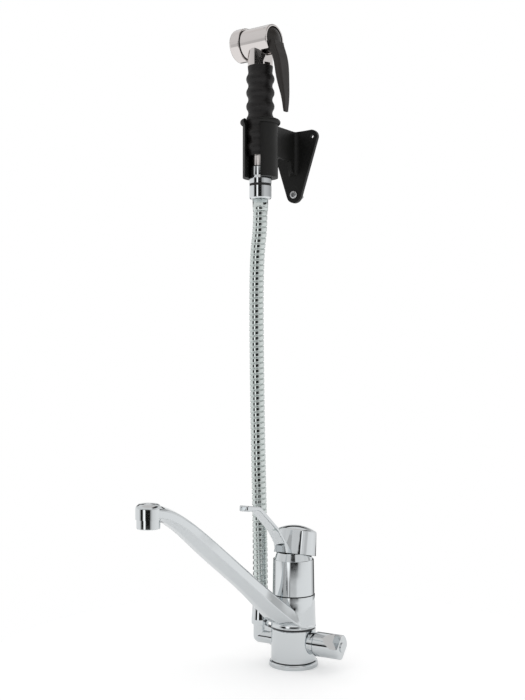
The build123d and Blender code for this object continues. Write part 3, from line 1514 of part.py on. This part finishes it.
parts = {
    "base_gasket": base_gasket,
    "base_flange": base_flange,
    "body_seal": body_seal,
    "lower_body": lower_body,
    "spout_slide_ring": spout_slide_ring,
    "spout_top_ring": spout_top_ring,
    "lower_spout_oring": lower_spout_oring,
    "upper_spout_oring": upper_spout_oring,
    "spout": spout,
    "aerator_housing": aerator_housing,
    "aerator_insert": aerator_insert,
    "aerator_washer": aerator_washer,
    "upper_body": upper_body,
    "collar_ring": collar_ring,
    "cartridge_base_seal": cartridge_base_seal,
    "cartridge_housing": cartridge_housing,
    "cartridge_fixed_disc": cartridge_fixed_disc,
    "cartridge_moving_disc": cartridge_moving_disc,
    "cartridge_rotor": cartridge_rotor,
    "cartridge_nut": cartridge_nut,
    "stem_pin": stem_pin,
    "lever_stem": lever_stem,
    "handle": handle,
    "handle_grub_screw": handle_grub_screw,
    "handle_plug": handle_plug,
    "valve_headwork": valve_headwork,
    "valve_disc": valve_disc,
    "valve_spindle": valve_spindle,
    "spindle_oring": spindle_oring,
    "valve_knob": valve_knob,
    "knob_screw": knob_screw,
    "knob_cap": knob_cap,
    "outlet_elbow": outlet_elbow,
    "elbow_oring": elbow_oring,
    "lower_hose_washer": lower_hose_washer,
    "lower_hose_ferrule": lower_hose_ferrule,
    "lower_hose_nut": lower_hose_nut,
    "hose": hose,
    "upper_hose_ferrule": upper_hose_ferrule,
    "upper_hose_washer": upper_hose_washer,
    "upper_hose_nut": upper_hose_nut,
    "connector_seal_ring": connector_seal_ring,
    "spray_connector": spray_connector,
    "swivel_oring": swivel_oring,
    "handset_body": handset_body,
    "rubber_grip": rubber_grip,
    "head_oring": head_oring,
    "nozzle_ring": nozzle_ring,
    "spray_face": spray_face,
    "trigger": trigger,
    "trigger_pin": trigger_pin,
    "valve_plunger": valve_plunger,
    "plunger_seal": plunger_seal,
    "plunger_spring": plunger_spring,
    "spray_holder": spray_holder,
    "lower_wall_screw": lower_wall_screw,
}

os.makedirs("parts", exist_ok=True)
for name, builder in parts.items():
    builder.part.label = name
    export_step(builder.part, f"parts/{name}.step")
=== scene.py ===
"""Looks of the sink mixer and its wall-held trigger spray, in metres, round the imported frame."""

import json
import math
from bisect import bisect_right

import bmesh
import bpy
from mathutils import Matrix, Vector


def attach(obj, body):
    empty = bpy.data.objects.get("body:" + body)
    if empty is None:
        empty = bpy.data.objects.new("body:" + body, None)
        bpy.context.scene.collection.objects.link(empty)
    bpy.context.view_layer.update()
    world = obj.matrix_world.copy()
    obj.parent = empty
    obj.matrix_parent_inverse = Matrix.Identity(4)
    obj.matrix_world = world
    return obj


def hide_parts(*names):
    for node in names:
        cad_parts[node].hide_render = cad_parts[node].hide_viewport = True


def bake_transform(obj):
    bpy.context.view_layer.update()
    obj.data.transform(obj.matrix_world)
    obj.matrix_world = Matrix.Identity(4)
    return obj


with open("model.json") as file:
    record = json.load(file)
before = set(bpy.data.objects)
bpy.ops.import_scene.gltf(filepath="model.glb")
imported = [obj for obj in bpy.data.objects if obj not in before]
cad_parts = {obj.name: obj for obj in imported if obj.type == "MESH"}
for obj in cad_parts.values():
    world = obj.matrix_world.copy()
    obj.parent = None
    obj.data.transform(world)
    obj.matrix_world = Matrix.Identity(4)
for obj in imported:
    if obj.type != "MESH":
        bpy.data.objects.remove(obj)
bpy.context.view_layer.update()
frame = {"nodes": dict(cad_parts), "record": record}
MM = 0.001
WHITE = (1, 1, 1, 1)
# Vertices this close, in metres, are one
SAME_PLACE = 1e-6

# Camera at the photograph's place: turned from the front, looking up by a hair, and its distance,
# offset to the left and height in metres
CAMERA_AZIMUTH = math.radians(30.0)
CAMERA_PITCH = math.radians(0.27)
CAMERA_DISTANCE = 1.088
CAMERA_OFFSET = 0.0318
CAMERA_HEIGHT = 0.3168
# Lens and sensor in millimetres
CAMERA_LENS = 54.51
CAMERA_SENSOR = 36

# Hose: the route's points in millimetres, offset from the hose column and height, as in the
# part's source
HOSE_X = -39.3
HOSE_ROUTE = (
    (0.0, 60.0),
    (0.0, 100.0),
    (-1.0, 155.0),
    (-2.9, 225.0),
    (-4.3, 310.0),
    (-4.9, 380.0),
    (-3.7, 425.0),
    (0.0, 450.0),
    (0.0, 479.4),
)
# Points of the smooth line to each span of the route
HOSE_ROUTE_STEPS = 24
# Radius over the ribs and depth of the groove between them, in millimetres
HOSE_RADIUS = 7.6
HOSE_RIB_DEPTH = 1.1
HOSE_RIBS = 74
# One rib: share of the pitch along the hose, share of the rib's depth below the crest
HOSE_RIB_SHAPE = (
    (0.0, 1.0), (0.05, 0.86), (0.1, 0.42), (0.15, 0.1), (0.21, 0.0), (0.29, 0.0), (0.71, 0.0),
    (0.79, 0.0), (0.85, 0.1), (0.9, 0.42), (0.95, 0.86), (1.0, 1.0),
)
HOSE_SIDES = 36
# Crimp sleeve under the upper nut: radius and height, in millimetres
SLEEVE_OUTLINE = (
    (7.4, 479.2), (8.2, 479.2), (8.0, 468.0), (7.75, 467.3), (7.4, 467.1), (7.4, 479.2),
)
SLEEVE_SIDES = 72

# Waves that polishing or turning leaves in metal, and smudges of handling on it: sizes and the
# waves' height in millimetres, the waves' strength, and the share of the noise at which a
# smudge starts and at which it is full
WAVE_LENGTH = 18.18
WAVE_HEIGHT = 0.4
WAVE_STRENGTH = 0.1
SMUDGE_SIZE = 7.143
SMUDGE_SHARES = (0.35, 0.7)
# Shinier and duller patches of moulded plastic and rubber: size in millimetres, shares of the
# noise, and how far they go below and above the material's own roughness; then the height of
# the mould's grain in millimetres
PATCH_SIZE = 16.67
PATCH_SHARES = (0.3, 0.7)
PATCH_SHINIER = 0.06
PATCH_DULLER = 0.08
GRAIN_HEIGHT = 0.2

# Round white table top, in metres, and the glow that lifts it to white for the camera alone
TABLE_RADIUS = 0.33
TABLE_SIDES = 96
TABLE_GLOW = 0.2


def place_camera():
    """The camera, level but for a hair, so that uprights stay upright."""
    toward = Vector((math.sin(CAMERA_AZIMUTH), -math.cos(CAMERA_AZIMUTH), 0))
    right = Vector((math.cos(CAMERA_AZIMUTH), math.sin(CAMERA_AZIMUTH), 0))
    up = Vector((0, 0, 1))
    data = bpy.data.cameras.new("camera")
    data.sensor_width = CAMERA_SENSOR
    data.lens = CAMERA_LENS
    camera = bpy.data.objects.new("camera", data)
    bpy.context.scene.collection.objects.link(camera)
    camera.location = toward * CAMERA_DISTANCE - right * CAMERA_OFFSET + up * CAMERA_HEIGHT
    look = -toward * math.cos(CAMERA_PITCH) + up * math.sin(CAMERA_PITCH)
    camera.rotation_mode = "QUATERNION"
    camera.rotation_quaternion = look.to_track_quat("-Z", "Y")
    bpy.context.scene.camera = camera


def linear(hex_colour):
    """An sRGB hex colour as linear RGBA."""
    channels = [int(hex_colour[i:i + 2], 16) / 255 for i in (1, 3, 5)]
    bent = [c / 12.92 if c <= 0.04045 else ((c + 0.055) / 1.055) ** 2.4 for c in channels]
    return (*bent, 1)


def add_node(tree, kind, settings=None):
    """A node with its settings and inputs; an input is a value or another node's output."""
    node = tree.nodes.new(kind)
    for name, value in (settings or {}).items():
        if isinstance(value, bpy.types.NodeSocket):
            tree.links.new(value, node.inputs[name])
        elif isinstance(name, str) and hasattr(node, name):
            setattr(node, name, value)
        else:
            node.inputs[name].default_value = value
    return node


def new_material(name, base, metallic=0.0, roughness=0.5):
    """A material on the principled shader, its tree and its shader."""
    material = bpy.data.materials.new(name)
    material.use_nodes = True
    tree = material.node_tree
    shader = tree.nodes["Principled BSDF"]
    shader.inputs["Base Color"].default_value = linear(base)
    shader.inputs["Metallic"].default_value = metallic
    shader.inputs["Roughness"].default_value = roughness
    return material, tree, shader


def paint(material, *names):
    """Gives CAD nodes a material."""
    for name in names:
        mesh = frame["nodes"][name].data
        mesh.materials.clear()
        mesh.materials.append(material)


def finish_mesh(bm, name, material):
    """A smooth piece from a bmesh, with its doubles merged and its faces outwards."""
    bmesh.ops.remove_doubles(bm, verts=bm.verts, dist=SAME_PLACE)
    bmesh.ops.recalc_face_normals(bm, faces=bm.faces)
    mesh = bpy.data.meshes.new(name)
    bm.to_mesh(mesh)
    bm.free()
    mesh.materials.append(material)
    for face in mesh.polygons:
        face.use_smooth = True
    piece = bpy.data.objects.new(name, mesh)
    bpy.context.scene.collection.objects.link(piece)
    return piece


# Hose


def route_points():
    """Points along the hose's centre line, read from a spline through its route."""
    data = bpy.data.curves.new("hose_route", "CURVE")
    data.dimensions = "3D"
    data.resolution_u = HOSE_ROUTE_STEPS
    spline = data.splines.new("NURBS")
    spline.points.add(len(HOSE_ROUTE) - 1)
    for point, (x, z) in zip(spline.points, HOSE_ROUTE):
        point.co = ((HOSE_X + x) * MM, 0, z * MM, 1)
    spline.order_u = 3
    spline.use_endpoint_u = True
    holder = bpy.data.objects.new("hose_route", data)
    line = bpy.data.meshes.new_from_object(holder)
    points = [vertex.co.copy() for vertex in line.vertices]
    bpy.data.objects.remove(holder)
    bpy.data.curves.remove(data)
    bpy.data.meshes.remove(line)
    return points


def bend_along(bm, points):
    """Lays an upright tube along points in an upright plane: its heights become lengths."""
    reach = [0.0]
    for before, after in zip(points, points[1:]):
        reach.append(reach[-1] + (after - before).length)
    steps = [(after - before).normalized() for before, after in zip(points, points[1:])]
    between = [(before + after).normalized() for before, after in zip(steps, steps[1:])]
    ahead = [steps[0], *between, steps[-1]]
    for vertex in bm.verts:
        distance = min(max(vertex.co.z, 0), reach[-1])
        i = min(bisect_right(reach, distance) - 1, len(steps) - 1)
        share = (distance - reach[i]) / (reach[i + 1] - reach[i])
        along = ahead[i].lerp(ahead[i + 1], share).normalized()
        side = Vector((along.z, 0, -along.x))
        centre = points[i].lerp(points[i + 1], share)
        vertex.co = centre + side * vertex.co.x + Vector((0, vertex.co.y, 0))


def chain(bm, outline):
    """Vertices joined by edges along an outline of radii and heights in millimetres."""
    verts = [bm.verts.new((radius * MM, 0, height * MM)) for radius, height in outline]
    return verts + [bm.edges.new(pair) for pair in zip(verts, verts[1:])]


def make_hose(material):
    """Strip-wound hose: one rib screwed up its length, trimmed square and laid on the route."""
    points = route_points()
    length = sum((after - before).length for before, after in zip(points, points[1:]))
    pitch = length / MM / HOSE_RIBS
    bm = bmesh.new()
    # One turn of the screw, from a rib below the start
    rib = [
        (HOSE_RADIUS - depth * HOSE_RIB_DEPTH, (share - 1) * pitch)
        for share, depth in HOSE_RIB_SHAPE
    ]
    bmesh.ops.spin(
        bm,
        geom=chain(bm, rib),
        axis=(0, 0, 1),
        cent=(0, 0, 0),
        dvec=Vector((0, 0, pitch * MM / HOSE_SIDES)),
        angle=math.tau,
        steps=HOSE_SIDES,
    )
    # Doubled until it is longer than the hose
    turns = 1
    while turns <= HOSE_RIBS:
        copy = bmesh.ops.duplicate(bm, geom=bm.verts[:] + bm.edges[:] + bm.faces[:])
        moved = [item for item in copy["geom"] if isinstance(item, bmesh.types.BMVert)]
        bmesh.ops.translate(bm, verts=moved, vec=(0, 0, turns * pitch * MM))
        turns *= 2
    bmesh.ops.remove_doubles(bm, verts=bm.verts, dist=SAME_PLACE)
    # Cut square and closed at both ends
    for height, outwards in ((0, -1), (length, 1)):
        cut = bmesh.ops.bisect_plane(
            bm,
            geom=bm.verts[:] + bm.edges[:] + bm.faces[:],
            plane_co=(0, 0, height),
            plane_no=(0, 0, outwards),
            clear_outer=True,
        )
        rim = [item for item in cut["geom_cut"] if isinstance(item, bmesh.types.BMEdge)]
        bmesh.ops.edgeloop_fill(bm, edges=rim)
    bend_along(bm, points)
    piece = finish_mesh(bm, "ribbed_hose", material)
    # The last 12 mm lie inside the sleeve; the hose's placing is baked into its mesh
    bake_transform(piece)
    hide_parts("hose")


def make_sleeve(material):
    """Crimped sleeve that holds the hose's end under the upper nut."""
    bm = bmesh.new()
    bmesh.ops.spin(
        bm,
        geom=chain(bm, SLEEVE_OUTLINE),
        axis=(0, 0, 1),
        cent=(0, 0, 0),
        angle=math.tau,
        steps=SLEEVE_SIDES,
        use_merge=True,
    )
    bmesh.ops.translate(bm, verts=bm.verts, vec=(HOSE_X * MM, 0, 0))
    piece = finish_mesh(bm, "crimp_sleeve", material)
    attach(piece, "hose_end")


# Materials


def add_finish(tree, shader, patches, shares, roughness, bump):
    """Roughness that follows patches of noise from one value to another, and a bump."""
    spread = add_node(tree, "ShaderNodeMapRange", {
        "From Min": shares[0],
        "From Max": shares[1],
        "To Min": roughness[0],
        "To Max": roughness[1],
        "Value": patches.outputs["Fac"],
    })
    tree.links.new(spread.outputs["Result"], shader.inputs["Roughness"])
    tree.links.new(bump.outputs["Normal"], shader.inputs["Normal"])


def metal(name, base, roughness, smudge):
    """Plated or bare metal: slow waves left by polishing, and a breath of smudging."""
    material, tree, shader = new_material(name, base, metallic=1.0, roughness=roughness)
    place = add_node(tree, "ShaderNodeTexCoord").outputs["Object"]
    waves = add_node(tree, "ShaderNodeTexNoise", {
        "Scale": 1 / (WAVE_LENGTH * MM), "Detail": 1.0, "Vector": place,
    })
    smudges = add_node(tree, "ShaderNodeTexNoise", {
        "Scale": 1 / (SMUDGE_SIZE * MM), "Detail": 4.0, "Vector": place,
    })
    bump = add_node(tree, "ShaderNodeBump", {
        "Strength": WAVE_STRENGTH, "Distance": WAVE_HEIGHT * MM, "Height": waves.outputs["Fac"],
    })
    add_finish(tree, shader, smudges, SMUDGE_SHARES, (roughness, roughness + smudge), bump)
    return material


def moulded(name, base, roughness, ior, grain, strength, specular=0.5):
    """Moulded plastic or rubber: a grain in millimetres and a slightly uneven sheen.

    A real mould's grain is a tenth of a millimetre or less; it is drawn coarser, to show.
    """
    material, tree, shader = new_material(name, base, roughness=roughness)
    shader.inputs["IOR"].default_value = ior
    shader.inputs["Specular IOR Level"].default_value = specular
    place = add_node(tree, "ShaderNodeTexCoord").outputs["Object"]
    specks = add_node(tree, "ShaderNodeTexNoise", {
        "Scale": 1 / (grain * MM), "Detail": 3.0, "Vector": place,
    })
    patches = add_node(tree, "ShaderNodeTexNoise", {
        "Scale": 1 / (PATCH_SIZE * MM), "Detail": 2.0, "Vector": place,
    })
    bump = add_node(tree, "ShaderNodeBump", {
        "Strength": strength, "Distance": GRAIN_HEIGHT * MM, "Height": specks.outputs["Fac"],
    })
    sheen = (roughness - PATCH_SHINIER, roughness + PATCH_DULLER)
    add_finish(tree, shader, patches, PATCH_SHARES, sheen, bump)
    return material


# Chrome over polished cast brass: a cool near-mirror, its reflections bent by the hand polish
chrome = metal("polished_chrome_on_brass", "#DADEE0", roughness=0.03, smudge=0.03)
# Steel strip, chromed and wound: a little duller and greener than the castings, so that each
# rib has a softer streak
hose_chrome = metal("chromed_wound_steel_strip", "#D3DAD8", roughness=0.08, smudge=0.05)
# Stainless steel from the lathe: neutral grey, with broad satin highlights
bare_steel = metal("turned_stainless_steel", "#B9BABB", roughness=0.22, smudge=0.1)
# Brass from the lathe: warm yellow, with broad satin highlights
brass = metal("turned_brass", "#D2B46C", roughness=0.25, smudge=0.1)
# Chrome over moulded ABS: nearly as bright as on brass, and a breath warmer
handset_chrome = metal("polished_chrome_on_abs", "#DBD6D4", roughness=0.04, smudge=0.03)
# ABS from a fine matt mould: near black, with faint grey streaks where light grazes it
black_abs = moulded(
    "moulded_black_abs", "#121211",
    roughness=0.42, ior=1.53, grain=0.5, strength=0.25, specular=0.25,
)
# Nylon from a smoother mould: a warm, slightly paler black with a clearer sheen
trigger_nylon = moulded(
    "moulded_black_nylon", "#262321",
    roughness=0.38, ior=1.53, grain=0.8, strength=0.15, specular=0.3,
)
# Rubber from a matt mould: soft black, with wide dull highlights along its ribs
grip_rubber = moulded(
    "moulded_black_rubber", "#131111",
    roughness=0.45, ior=1.52, grain=0.6, strength=0.3, specular=0.3,
)
# Nitrile rubber of seals and O-rings: the deepest black, almost without sheen
seal_rubber = moulded(
    "nitrile_seal_rubber", "#0C0C0C", roughness=0.6, ior=1.52, grain=0.4, strength=0.2,
)
# Dark acetal: a waxy charcoal with a low, even sheen
dark_acetal = moulded(
    "moulded_dark_acetal", "#2C2D30", roughness=0.4, ior=1.48, grain=0.5, strength=0.2,
)
# Grey acetal: the same waxy sheen on a pale grey
grey_acetal = moulded(
    "moulded_grey_acetal", "#A9ABAD", roughness=0.4, ior=1.48, grain=0.5, strength=0.2,
)
# Lapped alumina: cream white, hard and nearly glossy
alumina = moulded(
    "lapped_alumina_ceramic", "#E9E6DE", roughness=0.2, ior=1.76, grain=0.3, strength=0.1,
)

MATERIAL_OF_SLOT = {
    "chrome": chrome,
    "hose_steel": hose_chrome,
    "steel": bare_steel,
    "brass": brass,
    "black_plastic": black_abs,
    "grip_rubber": grip_rubber,
    "black_rubber": seal_rubber,
    "dark_polymer": dark_acetal,
    "grey_polymer": grey_acetal,
    "ceramic": alumina,
}


# Studio

# Soft boxes and dark gaps round the room, as the metal mirrors them, level by level. Each level
# is named for the piece that shows it most, the last for its own dark gap. The stops are degrees
# from the camera's side, minus to the left, and brightness
DECK_LEVEL = (
    (-140, 0.02), (-127, 0.5), (-116, 0.95), (-68, 1.0), (-56, 0.65), (-49, 0.7), (-45, 0.02),
    (-35, 0.02), (-32, 1.2), (-26, 0.35), (-16, 0.65), (10, 0.68), (20, 0.9), (110, 0.95),
    (135, 0.5), (150, 0.02),
)
HOSE_LEVEL = (
    (-170, 0.9), (-84, 0.9), (-72, 0.6), (-62, 0.01), (-45, 0.01), (-37, 1.3), (-25, 1.3),
    (-18, 0.01), (20, 0.01), (28, 0.5), (45, 0.8), (75, 0.9), (104, 0.95), (130, 0.85),
    (150, 0.7), (170, 0.9),
)
NUT_LEVEL = (
    (-170, 0.9), (-84, 0.85), (-70, 0.7), (-65, 0.01), (-42, 0.01), (-37, 1.3), (-27, 1.3),
    (-22, 0.01), (9, 0.01), (19, 0.4), (30, 0.45), (45, 0.65), (75, 0.6), (104, 0.5),
    (130, 0.4), (150, 0.7), (170, 0.9),
)
CAP_LEVEL = (
    (-170, 0.02), (-142, 0.02), (-130, 0.8), (-60, 0.75), (0, 0.7), (60, 0.8), (130, 0.8),
    (160, 0.6), (170, 0.02),
)
NECK_LEVEL = (
    (-170, 0.85), (-90, 0.75), (-60, 0.68), (-54, 0.01), (27, 0.01), (30, 1.2), (35, 1.2),
    (38, 0.01), (64, 0.01), (72, 0.75), (170, 0.85),
)
COLLAR_LEVEL = (
    (-170, 0.02), (-142, 0.02), (-130, 0.8), (-24, 0.75), (-18, 0.02), (6, 0.02), (12, 0.75),
    (130, 0.8), (160, 0.6), (170, 0.02),
)
GAP_LEVEL = ((-170, 0.8), (44, 0.75), (58, 0.02), (122, 0.02), (136, 0.75), (170, 0.8))
# From the deck's level upwards: the two heights between which each next level takes over, as
# the upward share of the mirrored direction
LEVELS = (
    (-0.18, -0.165, HOSE_LEVEL),
    (0.09, 0.12, NUT_LEVEL),
    (0.17, 0.19, CAP_LEVEL),
    (0.225, 0.24, NECK_LEVEL),
    (0.28, 0.295, CAP_LEVEL),
    (0.38, 0.39, COLLAR_LEVEL),
    (0.42, 0.44, CAP_LEVEL),
    (0.48, 0.52, GAP_LEVEL),
)
# The heights between which the walls give way to the ceiling, and the white table to the walls
CEILING_HEIGHTS = (0.76, 0.88)
TABLE_HEIGHTS = (-0.45, -0.3)
CEILING = "#D8D4D2"
# Places of the share, the two colours and the mixed colour among the Mix node's sockets
MIX_SHARE, MIX_BELOW, MIX_ABOVE, MIXED = 0, 6, 7, 2


def wall_ramp(tree, stops, turn):
    """A colour ramp round the room from stops of azimuth and brightness."""
    node = add_node(tree, "ShaderNodeValToRGB", {"Fac": turn})
    elements = node.color_ramp.elements
    while len(elements) > 1:
        elements.remove(elements[-1])
    for i, (degrees, brightness) in enumerate(stops):
        place = degrees / 360 + 0.5
        element = elements.new(place) if i else elements[0]
        element.position = place
        element.color = (brightness, brightness, brightness, 1)
    return node.outputs["Color"]


def mix_colours(tree, share, below, above):
    """The first colour where the share is 0, the second where it is 1."""
    mixed = add_node(tree, "ShaderNodeMix", {
        "data_type": "RGBA", MIX_SHARE: share, MIX_BELOW: below, MIX_ABOVE: above,
    })
    return mixed.outputs[MIXED]


def take_over(tree, height, heights, below, above, curve="LINEAR"):
    """One colour below two heights, another above them, and a blend between."""
    share = add_node(tree, "ShaderNodeMapRange", {
        "interpolation_type": curve,
        "From Min": heights[0],
        "From Max": heights[1],
        "Value": height,
    })
    return mix_colours(tree, share.outputs["Result"], below, above)


def light_studio():
    """A white room, in which metal alone mirrors the levels of soft boxes and dark gaps."""
    world = bpy.data.worlds.new("studio")
    world.use_nodes = True
    bpy.context.scene.world = world
    tree = world.node_tree
    direction = add_node(tree, "ShaderNodeTexCoord").outputs["Generated"]
    height = add_node(tree, "ShaderNodeSeparateXYZ", {0: direction}).outputs["Z"]
    # Turned so that the ramps' middle is the camera's side
    turned = add_node(tree, "ShaderNodeVectorRotate", {
        "rotation_type": "Z_AXIS", "Angle": math.pi / 2 - CAMERA_AZIMUTH, "Vector": direction,
    })
    around = add_node(tree, "ShaderNodeTexGradient", {
        "gradient_type": "RADIAL", "Vector": turned.outputs[0],
    })
    room = wall_ramp(tree, DECK_LEVEL, around.outputs["Fac"])
    for low, high, stops in LEVELS:
        level = wall_ramp(tree, stops, around.outputs["Fac"])
        room = take_over(tree, height, (low, high), room, level)
    room = take_over(tree, height, CEILING_HEIGHTS, room, linear(CEILING), "SMOOTHSTEP")
    room = take_over(tree, height, TABLE_HEIGHTS, WHITE, room, "SMOOTHSTEP")
    path = add_node(tree, "ShaderNodeLightPath")
    seen = mix_colours(tree, path.outputs["Is Glossy Ray"], WHITE, room)
    tree.links.new(seen, tree.nodes["Background"].inputs["Color"])
    tree.nodes["Background"].inputs["Strength"].default_value = 1.0


def lay_floor():
    """A round white table top that keeps the object's shadow."""
    material, tree, shader = new_material("white_table", "#F2F2F2", roughness=0.6)
    path = add_node(tree, "ShaderNodeLightPath")
    glow = add_node(tree, "ShaderNodeMath", {
        "operation": "MULTIPLY", 0: path.outputs["Is Camera Ray"], 1: TABLE_GLOW,
    })
    shader.inputs["Emission Color"].default_value = WHITE
    tree.links.new(glow.outputs[0], shader.inputs["Emission Strength"])
    bm = bmesh.new()
    bmesh.ops.create_circle(bm, cap_ends=True, segments=TABLE_SIDES, radius=TABLE_RADIUS)
    mesh = bpy.data.meshes.new("table_top")
    bm.to_mesh(mesh)
    bm.free()
    mesh.materials.append(material)
    floor = bpy.data.objects.new("table_top", mesh)
    bpy.context.scene.collection.objects.link(floor)


place_camera()
for part in frame["record"]["subparts"]:
    paint(MATERIAL_OF_SLOT[part["material_slot"]], part["node"])
paint(trigger_nylon, "trigger")
paint(handset_chrome, "handset_body", "nozzle_ring")
make_hose(hose_chrome)
make_sleeve(hose_chrome)
lay_floor()
light_studio()
bpy.context.scene.view_settings.view_transform = "Standard"
